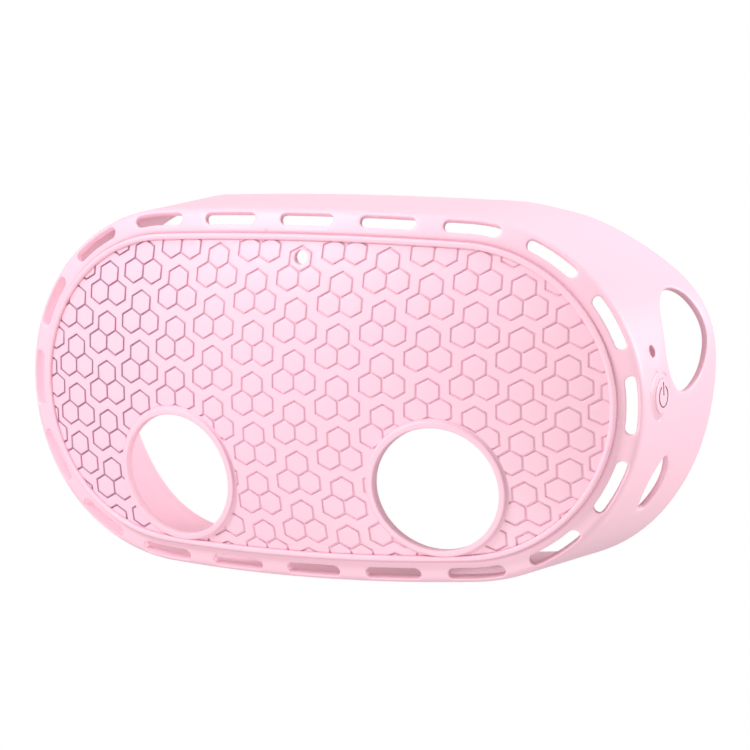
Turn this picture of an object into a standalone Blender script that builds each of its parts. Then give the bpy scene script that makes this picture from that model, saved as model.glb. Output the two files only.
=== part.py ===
"""Soft protective front cover for a head-worn visor.

An open-backed moulding: a domed honeycomb panel with two round windows, a raised bead round it,
a rounded shoulder with a row of vent slots, and a side skirt that runs back to a gripping lip.
A power button on the right side presses in and springs back.

Metres, +X to the viewer's right, +Y to the back, +Z up. The panel's front apex is the origin.
"""

import math

import bmesh
import bpy
from mathutils import Matrix, Vector
from mathutils.geometry import interpolate_bezier

MM = 0.001

# Panel outline: two long shallow arcs (top and bottom) joined by two end arcs.
HALF_WIDTH = 74.4 * MM
HALF_HEIGHT = 37.5 * MM
LONG_ARC_RADIUS = 700 * MM

# Dome of the front: one radius each way. The vertical bow fades towards the ends.
DOME_RADIUS_ACROSS = 195 * MM
DOME_RADIUS_UP = 110 * MM
BOW_FADE = 0.45

WALL = 1.6 * MM
JOINT_GAP = 0.3 * MM

# Bead round the panel.
BEAD_WIDTH = 1.4 * MM
BEAD_PROUD = 0.9 * MM

# Shoulder: a slope out from the bead, then a tight round bend into the skirt.
SHOULDER_DROP = 0.9 * MM
SHOULDER_SLOPE = math.radians(20)
SHOULDER_STRAIGHT = 4.5 * MM
SHOULDER_RADIUS = 2.4 * MM
SHOULDER_END_SLOPE = math.radians(84)

SLOT_COUNT = 20
SLOT_LENGTH = 13.9 * MM
SLOT_WIDTH = 3.1 * MM
SLOT_CENTRE = 3.7 * MM  # from the bead's foot, along the shoulder
SLOT_CROWDING = 0.001  # how far the slots crowd towards the ends, as a share of the way round

# Skirt: its rear edge lies deeper at the ends and below, and its flare changes at the corners.
REAR_DEPTH_TOP = 41 * MM
REAR_DEPTH_ENDS = 60.5 * MM
REAR_DEPTH_POWER = 2.2
REAR_DEEPER_BELOW = 7 * MM
REAR_FLARE = 8.1 * MM
# Each change of flare: its height, then its centre and spread as angles of the outline's normal.
UPPER_BULGE = (3.4 * MM, math.radians(23), math.radians(21))
LOWER_BULGE = (1.9 * MM, math.radians(-58), math.radians(26))
TOP_CORNER_DIP = (-0.5 * MM, math.radians(76), math.radians(9))
LIP_DEPTH = 3 * MM
LIP_HOOK = 0.4 * MM

# Round windows and the small top hole.
WINDOW_X = 34.3 * MM
WINDOW_Z = -20.3 * MM
WINDOW_RADIUS = 15 * MM
WINDOW_RIM = 1.6 * MM
WINDOW_PROUD = 1.0 * MM
TOP_HOLE_Z = 33.6 * MM
TOP_HOLE_RADIUS = 1.7 * MM

# Openings in each side, as smooth closed curves through (depth, height) points.
UPPER_OPENING = (
    (44.6, 24.3),
    (52.1, 22.2),
    (56.2, 13),
    (53.1, 4.4),
    (45.1, 0.2),
    (37.4, 1.9),
    (33.2, 9),
    (36.6, 19.8),
)
LOWER_OPENING = (
    (37.2, -15.2),
    (41.4, -17.4),
    (43.9, -23),
    (41.8, -28.4),
    (36.4, -27.4),
    (33.2, -20.5),
)
INDICATOR_Y = 26.1 * MM
INDICATOR_Z = 11.7 * MM
INDICATOR_RADIUS = 1.4 * MM

# Power button, on the right side.
BUTTON_Y = 27.4 * MM
BUTTON_Z = 1 * MM
BUTTON_RADIUS = 4.3 * MM
BUTTON_PROUD = 1.0 * MM
BUTTON_PUSHER_RADIUS = 2 * MM
BUTTON_PUSHER = 1.0 * MM
WEB_WIDTH = 0.7 * MM
WEB_THICKNESS = 0.8 * MM
ICON_RADIUS = 2.5 * MM
ICON_LINE = 0.32 * MM
ICON_PROUD = 0.12 * MM
ICON_OPENING = math.radians(50)

STATIONS = 80
STATION_OFFSET = 5 * MM  # the stations stand at equal steps along this offset of the outline
PINK = (0.945, 0.66, 0.76, 1)
SILICONE_ROUGHNESS = 0.55

# Centre and radius of the end arcs, where they meet the long arcs smoothly.
LONG_ARC_DROP = LONG_ARC_RADIUS - HALF_HEIGHT
LONG_ARC_REST = LONG_ARC_RADIUS - HALF_WIDTH
END_CENTRE = (LONG_ARC_DROP**2 - LONG_ARC_REST**2) / (2 * LONG_ARC_REST)
END_RADIUS = HALF_WIDTH - END_CENTRE
LONG_ARC_HALF_ANGLE = math.atan2(END_CENTRE, LONG_ARC_DROP)


def sagitta(distance, radius):
    return radius - math.sqrt(radius**2 - distance**2)


def dome_depth(x, z):
    """Depth of the front surface behind its apex."""
    bow = 1 - BOW_FADE * (x / HALF_WIDTH) ** 2
    return sagitta(x, DOME_RADIUS_ACROSS) + sagitta(z, DOME_RADIUS_UP) * bow


def quarter_lengths(offset):
    """Arc lengths of a quarter of the outline: half a long arc, then half an end arc."""
    long_half = (LONG_ARC_RADIUS + offset) * LONG_ARC_HALF_ANGLE
    end_half = (END_RADIUS + offset) * (math.pi / 2 - LONG_ARC_HALF_ANGLE)
    return long_half, end_half


def outline_at(turn, offset):
    """Point and outward normal, in X and Z, at a share of the way round, clockwise from the top."""
    long_half, end_half = quarter_lengths(offset)
    quarter = long_half + end_half
    along = (turn % 1) * 4 * quarter
    side = 1 if along <= 2 * quarter else -1
    if side < 0:
        along = 4 * quarter - along
    level = 1 if along <= quarter else -1
    if level < 0:
        along = 2 * quarter - along
    if along <= long_half:
        angle = along / (LONG_ARC_RADIUS + offset)
        normal = Vector((math.sin(angle), math.cos(angle)))
        point = Vector((0, -LONG_ARC_DROP)) + (LONG_ARC_RADIUS + offset) * normal
    else:
        angle = LONG_ARC_HALF_ANGLE + (along - long_half) / (END_RADIUS + offset)
        normal = Vector((math.sin(angle), math.cos(angle)))
        point = Vector((END_CENTRE, 0)) + (END_RADIUS + offset) * normal
    return Vector((side * point.x, level * point.y)), Vector((side * normal.x, level * normal.y))


class Station:
    """One place round the outline, where a cross-section stands."""

    def __init__(self, turn, reference=STATION_OFFSET):
        at, self.normal = outline_at(turn, reference)
        self.edge = at - reference * self.normal
        self.depth = dome_depth(self.edge.x, self.edge.y)

    def place(self, offset, drop):
        """World point at an outward offset from the outline and a drop behind the panel's edge."""
        flat = self.edge + offset * self.normal
        return Vector((flat.x, self.depth + drop, flat.y))


def shoulder_at(distance):
    """Offset, drop and slope at a distance along the shoulder's outer surface, from the bead's foot."""
    start = Vector((BEAD_WIDTH, SHOULDER_DROP))
    direction = Vector((math.cos(SHOULDER_SLOPE), math.sin(SHOULDER_SLOPE)))
    if distance <= SHOULDER_STRAIGHT:
        return start + distance * direction, SHOULDER_SLOPE
    slope = SHOULDER_SLOPE + (distance - SHOULDER_STRAIGHT) / SHOULDER_RADIUS
    bend = Vector((math.sin(slope) - math.sin(SHOULDER_SLOPE), math.cos(SHOULDER_SLOPE) - math.cos(slope)))
    return start + SHOULDER_STRAIGHT * direction + SHOULDER_RADIUS * bend, slope


def shoulder_length():
    return SHOULDER_STRAIGHT + SHOULDER_RADIUS * (SHOULDER_END_SLOPE - SHOULDER_SLOPE)


def inward(slope):
    """Unit vector from the shoulder's outer surface into its wall, in offset and drop."""
    return Vector((-math.sin(slope), math.cos(slope)))


def rear_edge(station):
    """Outward offset and world depth of the skirt's rear edge at a station."""
    share = min(abs(station.edge.x) / HALF_WIDTH, 1)
    depth = REAR_DEPTH_TOP + (REAR_DEPTH_ENDS - REAR_DEPTH_TOP) * share**REAR_DEPTH_POWER
    depth += REAR_DEEPER_BELOW * ((1 - station.normal.y) / 2) ** 2
    angle = math.atan2(station.normal.y, abs(station.normal.x))
    flare = REAR_FLARE
    for height, centre, spread in (UPPER_BULGE, LOWER_BULGE, TOP_CORNER_DIP):
        flare += height * math.exp(-(((angle - centre) / spread) ** 2))
    return flare, depth


def skirt_outer(station, share):
    """Offset and drop of the skirt's outer surface, at a share of the way back to the rear edge."""
    fold, _ = shoulder_at(shoulder_length())
    flare, depth = rear_edge(station)
    rear = Vector((flare, depth - station.depth))
    return fold.lerp(rear, share)


def make_material(name, colour, roughness):
    material = bpy.data.materials.new(name)
    material.use_nodes = True
    shader = material.node_tree.nodes["Principled BSDF"]
    shader.inputs["Base Color"].default_value = colour
    shader.inputs["Roughness"].default_value = roughness
    shader.inputs["Metallic"].default_value = 0
    material.diffuse_color = colour
    return material


def add_object(name, builder, collection, colour=PINK):
    """Makes an object from a bmesh, with outward faces and its own material."""
    bmesh.ops.recalc_face_normals(builder, faces=builder.faces)
    mesh = bpy.data.meshes.new(name)
    builder.to_mesh(mesh)
    builder.free()
    mesh.materials.append(make_material(name, colour, SILICONE_ROUGHNESS))
    mesh.shade_smooth()
    mesh.set_sharp_from_angle(angle=math.radians(40))
    made = bpy.data.objects.new(name, mesh)
    collection.objects.link(made)
    return made


def loft_ring(sections):
    """Closed ring through equal closed cross-sections."""
    builder = bmesh.new()
    rows = [[builder.verts.new(point) for point in section] for section in sections]
    for row, after in zip(rows, rows[1:] + rows[:1]):
        for i, vertex in enumerate(row):
            j = (i + 1) % len(row)
            builder.faces.new((vertex, row[j], after[j], after[i]))
    return builder


def loft_prism(near, far):
    """Closed prism between two equal closed outlines, with its ends fanned from their centres."""
    builder = bmesh.new()
    rows = [[builder.verts.new(point) for point in outline] for outline in (near, far)]
    count = len(near)
    for i in range(count):
        j = (i + 1) % count
        builder.faces.new((rows[0][i], rows[0][j], rows[1][j], rows[1][i]))
    for row, outline in zip(rows, (near, far)):
        middle = builder.verts.new(sum(outline, Vector()) / count)
        for i in range(count):
            builder.faces.new((row[i], row[(i + 1) % count], middle))
    return builder


def merge_builders(builders):
    whole = bmesh.new()
    for builder in builders:
        bmesh.ops.recalc_face_normals(builder, faces=builder.faces)
        part = bpy.data.meshes.new("part")
        builder.to_mesh(part)
        builder.free()
        whole.from_mesh(part)
        bpy.data.meshes.remove(part)
    return whole


def add_cutter(name, builder, cutters):
    bmesh.ops.recalc_face_normals(builder, faces=builder.faces)
    mesh = bpy.data.meshes.new(name)
    builder.to_mesh(mesh)
    builder.free()
    cutter = bpy.data.objects.new(name, mesh)
    cutter.hide_render = True
    cutter.display_type = "WIRE"
    cutters.objects.link(cutter)
    return cutter


def cut(target, cutter):
    modifier = target.modifiers.new(cutter.name, "BOOLEAN")
    modifier.operation = "DIFFERENCE"
    modifier.solver = "EXACT"
    modifier.object = cutter


def smooth_outline(points, steps=4):
    """Closed smooth curve through points given in millimetres, as (depth, height) vectors in metres."""
    knots = [Vector((y * MM, z * MM, 0)) for y, z in points]
    count = len(knots)
    curve = []
    for i, knot in enumerate(knots):
        before, after, beyond = knots[i - 1], knots[(i + 1) % count], knots[(i + 2) % count]
        leave = knot + (after - before) / 6
        arrive = after - (beyond - knot) / 6
        curve += interpolate_bezier(knot, leave, arrive, after, steps + 1)[:-1]
    return curve


def circle_points(radius, count=32):
    angles = [math.tau * i / count for i in range(count)]
    return [Vector((math.cos(a), math.sin(a))) * radius for a in angles]


def side_prism(outline, side):
    """Prism along X through one side wall, from an outline of (depth, height) points."""
    reach = [side * (HALF_WIDTH - 12 * MM), side * (HALF_WIDTH + 20 * MM)]
    near, far = ([Vector((x, point.x, point.y)) for point in outline] for x in reach)
    return loft_prism(near, far)


def front_prism(x, z, radius, count=40):
    """Prism along Y through the front, round a point of the panel."""
    depths = (-15 * MM, 35 * MM)
    near, far = ([Vector((x + p.x, y, z + p.y)) for p in circle_points(radius, count)] for y in depths)
    return loft_prism(near, far)


def button_frame():
    """Rotation and place of the button, on the wall's outer surface: local +Z points outward."""
    station = Station(0.25)
    share = 0.0
    while station.place(*skirt_outer(station, share)).y < BUTTON_Y:
        share += 0.001
    on_wall = station.place(*skirt_outer(station, share))
    ahead = station.place(*skirt_outer(station, share + 0.05))
    along = (ahead - on_wall).normalized()
    outward = Vector((along.y, -along.x, 0))
    across = Vector((0, 0, 1))
    basis = Matrix((across.cross(outward), across, outward)).transposed()
    return Matrix.Translation((on_wall.x, BUTTON_Y, BUTTON_Z)) @ basis.to_4x4()


def turned(profile, collection, name, colour=PINK):
    """Solid of revolution about local Z, from a profile that runs down its outer side."""
    mesh = bpy.data.meshes.new(name)
    mesh.from_pydata([(r, 0, z) for r, z in profile], [(i, i + 1) for i in range(len(profile) - 1)], [])
    mesh.materials.append(make_material(name, colour, SILICONE_ROUGHNESS))
    made = bpy.data.objects.new(name, mesh)
    collection.objects.link(made)
    screw = made.modifiers.new("turn", "SCREW")
    screw.axis = "Z"
    screw.steps = screw.render_steps = 28
    screw.use_merge_vertices = True
    screw.merge_threshold = 1e-5
    screw.use_smooth_shade = True
    return made


def side_skirt(stations, cutters, collection):
    """Side wall, cut by the two openings of each side, the indicator hole and the button's seat."""
    sections = []
    for station in stations:
        length = (skirt_outer(station, 1) - skirt_outer(station, 0)).y
        shares = (JOINT_GAP / length, 0.25, 0.5, 0.75, 1 - (LIP_DEPTH + JOINT_GAP) / length)
        outer = [skirt_outer(station, share) for share in shares]
        inner = [point - Vector((WALL, 0)) for point in reversed(outer)]
        sections.append([station.place(*point) for point in outer + inner])
    skirt = add_object("side_skirt", loft_ring(sections), collection)
    indicator = [Vector((INDICATOR_Y, INDICATOR_Z)) + p for p in circle_points(INDICATOR_RADIUS, 16)]
    for side, word in ((-1, "left"), (1, "right")):
        for level, points in (("_upper_opening", UPPER_OPENING), ("_lower_opening", LOWER_OPENING)):
            cut(skirt, add_cutter(word + level, side_prism(smooth_outline(points), side), cutters))
    cut(skirt, add_cutter("indicator_hole", side_prism(indicator, 1), cutters))
    seat_radius = BUTTON_RADIUS + WEB_WIDTH + 2 * JOINT_GAP
    seat = [Vector((BUTTON_Y, BUTTON_Z)) + p for p in circle_points(seat_radius, 28)]
    cut(skirt, add_cutter("button_seat", side_prism(seat, 1), cutters))
    return skirt


def rear_lip(stations, collection):
    """Rounded edge behind the skirt, thicker on its inner side, where it grips."""
    sections = []
    for station in stations:
        flare, depth = rear_edge(station)
        back = depth - station.depth
        front = back - LIP_DEPTH
        thick = WALL + LIP_HOOK
        profile = (
            (flare, front),
            (flare, back - 0.6 * MM),
            (flare - 0.6 * MM, back),
            (flare - thick + 0.6 * MM, back),
            (flare - thick, back - 0.6 * MM),
            (flare - thick, back - 1.6 * MM),
            (flare - WALL, front),
        )
        sections.append([station.place(*point) for point in profile])
    return add_object("rear_lip", loft_ring(sections), collection)


def slot_cutter(index):
    """Round-ended slot that follows the outline, cut square to the shoulder's surface."""
    middle, _ = shoulder_at(SLOT_CENTRE)
    long_half, end_half = quarter_lengths(middle.x)
    round_trip = 4 * (long_half + end_half)
    half_width = SLOT_WIDTH / 2
    half_straight = SLOT_LENGTH / 2 - half_width
    turn = index / SLOT_COUNT
    centre = turn + SLOT_CROWDING * math.sin(2 * math.tau * turn)
    ends = []
    for sign in (1, -1):
        for step in range(5):
            angle = math.pi * step / 4
            along = sign * (half_straight + half_width * math.sin(angle))
            ends.append((along, sign * half_width * math.cos(angle)))
    near, far = [], []
    for along, across in ends:
        station = Station(centre + along / round_trip, middle.x)
        surface, slope = shoulder_at(SLOT_CENTRE + across)
        near.append(station.place(*(surface - 2 * MM * inward(slope))))
        far.append(station.place(*(surface + (WALL + 0.5 * MM) * inward(slope))))
    return loft_prism(near, far)


def slotted_flange(stations, cutters, collection):
    """Rounded shoulder between bead and skirt, with the row of slots."""
    reach = shoulder_length()
    distances = [JOINT_GAP / 2] + [SHOULDER_STRAIGHT + (reach - SHOULDER_STRAIGHT) * i / 4 for i in range(5)]
    distances[-1] -= JOINT_GAP / 2
    sections = []
    for station in stations:
        surface = [shoulder_at(distance) for distance in distances]
        outer = [point for point, slope in surface]
        inner = [point + WALL * inward(slope) for point, slope in reversed(surface)]
        for point in inner:
            point.x = max(point.x, outer[0].x)
        sections.append([station.place(*point) for point in outer + inner])
    flange = add_object("slotted_flange", loft_ring(sections), collection)
    slots = merge_builders([slot_cutter(index) for index in range(SLOT_COUNT)])
    cut(flange, add_cutter("slots", slots, cutters))
    return flange


def panel_bead(stations, cutters, collection):
    """Round-topped bead between the panel and the shoulder."""
    half = (BEAD_WIDTH - JOINT_GAP) / 2
    middle = BEAD_WIDTH / 2 - JOINT_GAP / 4
    foot = SHOULDER_DROP + WALL
    angles = [math.pi * i / 4 for i in range(5)]
    crown = [(middle - half * math.cos(a), half - BEAD_PROUD - half * math.sin(a)) for a in angles]
    profile = [(middle - half, foot)] + crown + [(middle + half, foot)]
    sections = [[station.place(*point) for point in profile] for station in stations]
    bead = add_object("panel_bead", loft_ring(sections), collection)
    for side in (-1, 1):
        cut(bead, cutters.objects[window_cutter_name(side)])
    return bead


def window_cutter_name(side):
    return ("left" if side < 0 else "right") + "_window_seat"


def add_window_cutters(cutters):
    for side in (-1, 1):
        radius = WINDOW_RADIUS + WINDOW_RIM + JOINT_GAP
        add_cutter(window_cutter_name(side), front_prism(side * WINDOW_X, WINDOW_Z, radius), cutters)


def honeycomb_panel(stations, cutters, collection):
    """Domed panel inside the bead, with the seats of both window rims and the small top hole."""
    builder = bmesh.new()
    rings = 5
    layers = []
    for depth in (0, WALL):
        rows = []
        for ring in range(1, rings + 1):
            points = [(station.edge - JOINT_GAP / 2 * station.normal) * ring / rings for station in stations]
            rows.append([builder.verts.new((p.x, dome_depth(p.x, p.y) + depth, p.y)) for p in points])
        centre = builder.verts.new((0, depth, 0))
        count = len(rows[0])
        for i in range(count):
            j = (i + 1) % count
            builder.faces.new((centre, rows[0][i], rows[0][j]))
            for inner_row, outer_row in zip(rows, rows[1:]):
                builder.faces.new((inner_row[i], outer_row[i], outer_row[j], inner_row[j]))
        layers.append(rows[-1])
    for i in range(len(layers[0])):
        j = (i + 1) % len(layers[0])
        builder.faces.new((layers[0][i], layers[1][i], layers[1][j], layers[0][j]))
    panel = add_object("honeycomb_panel", builder, collection)
    for side in (-1, 1):
        cut(panel, cutters.objects[window_cutter_name(side)])
    cut(panel, add_cutter("top_hole", front_prism(0, TOP_HOLE_Z, TOP_HOLE_RADIUS, 16), cutters))
    return panel


def window_ring(side, collection):
    """Raised rim of one window, which follows the dome."""
    half = WINDOW_RIM / 2
    middle = WINDOW_RADIUS + half
    angles = [math.pi * i / 4 for i in range(5)]
    crown = [(middle - half * math.cos(a), half - WINDOW_PROUD - half * math.sin(a)) for a in angles]
    profile = [(WINDOW_RADIUS, WALL)] + crown + [(WINDOW_RADIUS + WINDOW_RIM, WALL)]
    sections = []
    for direction in circle_points(1, 40):
        section = []
        for radius, drop in profile:
            x = side * WINDOW_X + radius * direction.x
            z = WINDOW_Z + radius * direction.y
            section.append(Vector((x, dome_depth(x, z) + drop, z)))
        sections.append(section)
    name = ("left" if side < 0 else "right") + "_window_ring"
    return add_object(name, loft_ring(sections), collection)


def button_web(frame, collection):
    """Thin ring that carries the button in the skirt's seat."""
    inside = BUTTON_RADIUS + JOINT_GAP
    outside = inside + WEB_WIDTH
    low = -WALL
    profile = ((outside, low + WEB_THICKNESS), (outside, low), (inside, low), (inside, low + WEB_THICKNESS))
    web = turned(profile + profile[:1], collection, "button_web")
    web.matrix_world = frame
    return web


def power_button(frame, collection):
    """Domed pad with a pusher behind it. Its origin is on the axis it slides along."""
    edge = 0.6 * MM
    rim = BUTTON_PROUD - 0.3 * MM
    back = -WALL
    profile = (
        (0, BUTTON_PROUD),
        (BUTTON_RADIUS * 0.62, BUTTON_PROUD - 0.04 * MM),
        (BUTTON_RADIUS - edge, rim + 0.1 * MM),
        (BUTTON_RADIUS - 0.2 * MM, rim - 0.2 * MM),
        (BUTTON_RADIUS, rim - edge),
        (BUTTON_RADIUS, back),
        (BUTTON_PUSHER_RADIUS, back),
        (BUTTON_PUSHER_RADIUS, back - BUTTON_PUSHER),
        (0, back - BUTTON_PUSHER),
    )
    button = turned(profile, collection, "power_button")
    button.matrix_world = frame
    return button


def icon_piece(name, points, frame, collection):
    """Round-ended raised line on the pad, from points in the pad's plane."""
    curve = bpy.data.curves.new(name, "CURVE")
    curve.dimensions = "3D"
    curve.bevel_depth = ICON_LINE
    curve.bevel_resolution = 1
    curve.use_fill_caps = True
    spline = curve.splines.new("POLY")
    spline.points.add(len(points) - 1)
    for target, (u, v) in zip(spline.points, points):
        target.co = (u, v, BUTTON_PROUD + JOINT_GAP + ICON_LINE - ICON_PROUD, 1)
    curve.materials.append(make_material(name, (0.35, 0.22, 0.27, 1), 0.5))
    made = bpy.data.objects.new(name, curve)
    collection.objects.link(made)
    made.matrix_world = frame
    return made


def power_icon(frame, collection):
    """Generic power symbol: an open circle with an upright bar in its gap."""
    sweep = math.tau - ICON_OPENING
    start = math.pi / 2 + ICON_OPENING / 2
    angles = [start + sweep * i / 12 for i in range(13)]
    arc = [(ICON_RADIUS * math.cos(a), ICON_RADIUS * math.sin(a)) for a in angles]
    icon_piece("icon_arc", arc, frame, collection)
    icon_piece("icon_bar", [(0, ICON_RADIUS * 1.2), (0, ICON_RADIUS * 0.15)], frame, collection)


def new_collection(name):
    made = bpy.data.collections.new(name)
    bpy.context.scene.collection.children.link(made)
    return made


def main():
    for old in list(bpy.data.objects):
        bpy.data.objects.remove(old)
    cover = new_collection("visor_cover")
    cutters = new_collection("cutters")
    stations = [Station(i / STATIONS) for i in range(STATIONS)]
    add_window_cutters(cutters)
    side_skirt(stations, cutters, cover)
    rear_lip(stations, cover)
    slotted_flange(stations, cutters, cover)
    panel_bead(stations, cutters, cover)
    honeycomb_panel(stations, cutters, cover)
    for side in (-1, 1):
        window_ring(side, cover)
    frame = button_frame()
    button_web(frame, cover)
    power_button(frame, cover)
    power_icon(frame, cover)


main()
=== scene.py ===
"""Visual model of the soft visor cover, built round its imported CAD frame.

Metres, +X to the viewer's right, +Y to the back, +Z up. The panel's front apex is the origin.
Lengths inside the shape code are in millimetres and are scaled once, when a mesh is made.
"""

import math

import bmesh
import bpy
import numpy as np
from mathutils import Matrix, Vector
from mathutils.geometry import delaunay_2d_cdt, interpolate_bezier


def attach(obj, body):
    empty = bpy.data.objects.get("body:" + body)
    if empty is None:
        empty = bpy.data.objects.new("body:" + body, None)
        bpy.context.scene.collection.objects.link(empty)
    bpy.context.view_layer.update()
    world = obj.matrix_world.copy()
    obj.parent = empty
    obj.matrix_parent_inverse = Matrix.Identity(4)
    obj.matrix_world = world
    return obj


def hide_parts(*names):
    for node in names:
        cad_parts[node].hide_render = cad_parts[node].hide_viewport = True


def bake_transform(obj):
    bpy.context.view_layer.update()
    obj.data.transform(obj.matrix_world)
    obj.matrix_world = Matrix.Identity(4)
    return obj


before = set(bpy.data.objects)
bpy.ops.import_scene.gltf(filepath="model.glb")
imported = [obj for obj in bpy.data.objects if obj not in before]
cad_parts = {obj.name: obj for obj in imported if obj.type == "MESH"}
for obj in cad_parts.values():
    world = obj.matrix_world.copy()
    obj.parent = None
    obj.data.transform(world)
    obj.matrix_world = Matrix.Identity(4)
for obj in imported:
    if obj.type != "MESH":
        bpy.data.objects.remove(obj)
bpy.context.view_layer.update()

MM = 0.001

# ---- Shape of the moulding, in millimetres, as the CAD has it ----
HALF_WIDTH = 74.4
HALF_HEIGHT = 37.5
LONG_ARC_RADIUS = 700.0
DOME_RADIUS_ACROSS = 195.0
DOME_RADIUS_UP = 110.0
BOW_FADE = 0.45
WALL = 1.6
BEAD_WIDTH = 1.4
BEAD_PROUD = 0.75
SHOULDER_DROP = 0.9
SHOULDER_SLOPE = math.radians(20)
SHOULDER_STRAIGHT = 4.5
SHOULDER_RADIUS = 2.4
SHOULDER_END_SLOPE = math.radians(84)
SHOULDER_LENGTH = SHOULDER_STRAIGHT + SHOULDER_RADIUS * (SHOULDER_END_SLOPE - SHOULDER_SLOPE)
SLOT_COUNT = 20
SLOT_LENGTH = 13.9
SLOT_WIDTH = 3.1
SLOT_CENTRE = 3.7
SLOT_CROWDING = 0.001
REAR_DEPTH_TOP = 41.0
REAR_DEPTH_ENDS = 60.5
REAR_DEPTH_POWER = 2.2
REAR_DEEPER_BELOW = 7.0
REAR_FLARE = 8.1
UPPER_BULGE = (3.4, math.radians(23), math.radians(21))
LOWER_BULGE = (1.9, math.radians(-58), math.radians(26))
TOP_CORNER_DIP = (-0.5, math.radians(76), math.radians(9))
LIP_DEPTH = 3.0
LIP_HOOK = 0.4
WINDOW_X = 34.3
WINDOW_Z = -20.3
WINDOW_RADIUS = 15.0
WINDOW_RIM = 1.6
WINDOW_PROUD = 1.0
TOP_HOLE_Z = 33.6
TOP_HOLE_RADIUS = 1.7
UPPER_OPENING = (
    (44.6, 24.3),
    (52.1, 22.2),
    (56.2, 13),
    (53.1, 4.4),
    (45.1, 0.2),
    (37.4, 1.9),
    (33.2, 9),
    (36.6, 19.8),
)
LOWER_OPENING = (
    (37.2, -15.2),
    (41.4, -17.4),
    (43.9, -23),
    (41.8, -28.4),
    (36.4, -27.4),
    (33.2, -20.5),
)
INDICATOR_Y = 26.1
INDICATOR_Z = 11.7
INDICATOR_RADIUS = 1.4
BUTTON_Y = 27.4
BUTTON_Z = 1.0
BUTTON_RADIUS = 4.3
BUTTON_PROUD = 1.0
ICON_RADIUS = 2.5
PUSHER_RADIUS = 2.0
PUSHER_LENGTH = 1.0

LONG_ARC_DROP = LONG_ARC_RADIUS - HALF_HEIGHT
LONG_ARC_REST = LONG_ARC_RADIUS - HALF_WIDTH
END_CENTRE = (LONG_ARC_DROP**2 - LONG_ARC_REST**2) / (2 * LONG_ARC_REST)
END_RADIUS = HALF_WIDTH - END_CENTRE
LONG_ARC_HALF_ANGLE = math.atan2(END_CENTRE, LONG_ARC_DROP)

# ---- Detail that only the visual model has, in millimetres ----
SLOT_FILLET = 0.3
OPENING_FILLET = 0.5
REAR_FILLET = 0.7
HOLE_FILLET = 0.3
SKIRT_SPAN = 45.0  # width of the skirt in the sheet's own coordinates
SHEET_PITCH = 1.7
HEX_SIDE = 3.03
HEX_STRETCH = 1.067
HEX_ROW = 4 * HEX_SIDE
HEX_COLUMN = 11.22
GROOVE_DEPTH = 0.42
GROOVE = ((0.13, GROOVE_DEPTH), (0.2, 0.37), (0.25, 0.1), (0.32, 0.02), (0.44, 0.0))  # half width, depth
GROOVE_SHADE_FADE = ((-50, -18, 74), (1.0, 0.25, 0.1))  # places across the panel, strength of the shade painted into the grooves, darker on the left
FILLET_STEPS = (0, 0.12, 0.4, 1)  # rows of points across a rounded edge, as shares of its radius
INDICATOR_FILLET = 0.2
BEAD_FILLET = 0.6
RIM_FILLET = 0.4
RIM_FOOT = ((0.06, -0.35), (0.2, -0.12), (0.5, 0.02), (0.6, 0.4))  # outward, drop
SEAT_MARGIN = 0.9  # from the pad to the edge of its seat in the wall
WEB_REACH = 1.3  # from the pad to the web's outer edge, which covers the seat's
WEB_RISE = 0.6
PAD_CROWN = 0.1
PAD_FILLET = 0.32
PAD_CLEARANCE = 0.05
ICON_LINE = 0.16


# ---- Outline and sections, on numpy arrays ----
def sagitta(distance, radius):
    return radius - np.sqrt(radius**2 - distance**2)


def dome_depth(x, z):
    """Depth of the front surface behind its apex."""
    bow = 1 - BOW_FADE * (x / HALF_WIDTH) ** 2
    return sagitta(x, DOME_RADIUS_ACROSS) + sagitta(z, DOME_RADIUS_UP) * bow


def outline_perimeter(offset):
    long_half = (LONG_ARC_RADIUS + offset) * LONG_ARC_HALF_ANGLE
    end_half = (END_RADIUS + offset) * (math.pi / 2 - LONG_ARC_HALF_ANGLE)
    return 4 * (long_half + end_half)


def outline_at(turn, offset):
    """Points (x, z) and outward normals at shares of the way round, clockwise from the top."""
    turn = np.asarray(turn, float) % 1
    long_half = (LONG_ARC_RADIUS + offset) * LONG_ARC_HALF_ANGLE
    quarter = outline_perimeter(offset) / 4
    along = turn * 4 * quarter
    side = np.where(along <= 2 * quarter, 1.0, -1.0)
    along = np.where(side < 0, 4 * quarter - along, along)
    level = np.where(along <= quarter, 1.0, -1.0)
    along = np.where(level < 0, 2 * quarter - along, along)
    on_long = along <= long_half
    angle = np.where(
        on_long,
        along / (LONG_ARC_RADIUS + offset),
        LONG_ARC_HALF_ANGLE + (along - long_half) / (END_RADIUS + offset),
    )
    normal = np.stack((np.sin(angle), np.cos(angle)), axis=-1)
    centre = np.where(on_long[..., None], (0.0, -LONG_ARC_DROP), (END_CENTRE, 0.0))
    radius = np.where(on_long, LONG_ARC_RADIUS + offset, END_RADIUS + offset)
    point = centre + radius[..., None] * normal
    mirror = np.stack((side, level), axis=-1)
    return point * mirror, normal * mirror


def shoulder_at(distance):
    """Offset and drop along the shoulder's outer surface, from the bead's foot, as plain numbers."""
    slope = SHOULDER_SLOPE
    start = np.array((BEAD_WIDTH, SHOULDER_DROP))
    direction = np.array((math.cos(slope), math.sin(slope)))
    straight = np.minimum(distance, SHOULDER_STRAIGHT)[..., None] * direction
    turned = slope + np.maximum(distance - SHOULDER_STRAIGHT, 0) / SHOULDER_RADIUS
    bend = np.stack((np.sin(turned) - math.sin(slope), math.cos(slope) - np.cos(turned)), axis=-1)
    return start + straight + SHOULDER_RADIUS * bend


SLOT_REFERENCE = float(shoulder_at(np.array(SLOT_CENTRE))[0])
SHEET_LENGTH = outline_perimeter(SLOT_REFERENCE)
SHEET_REAR = SHOULDER_LENGTH + SKIRT_SPAN


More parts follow.
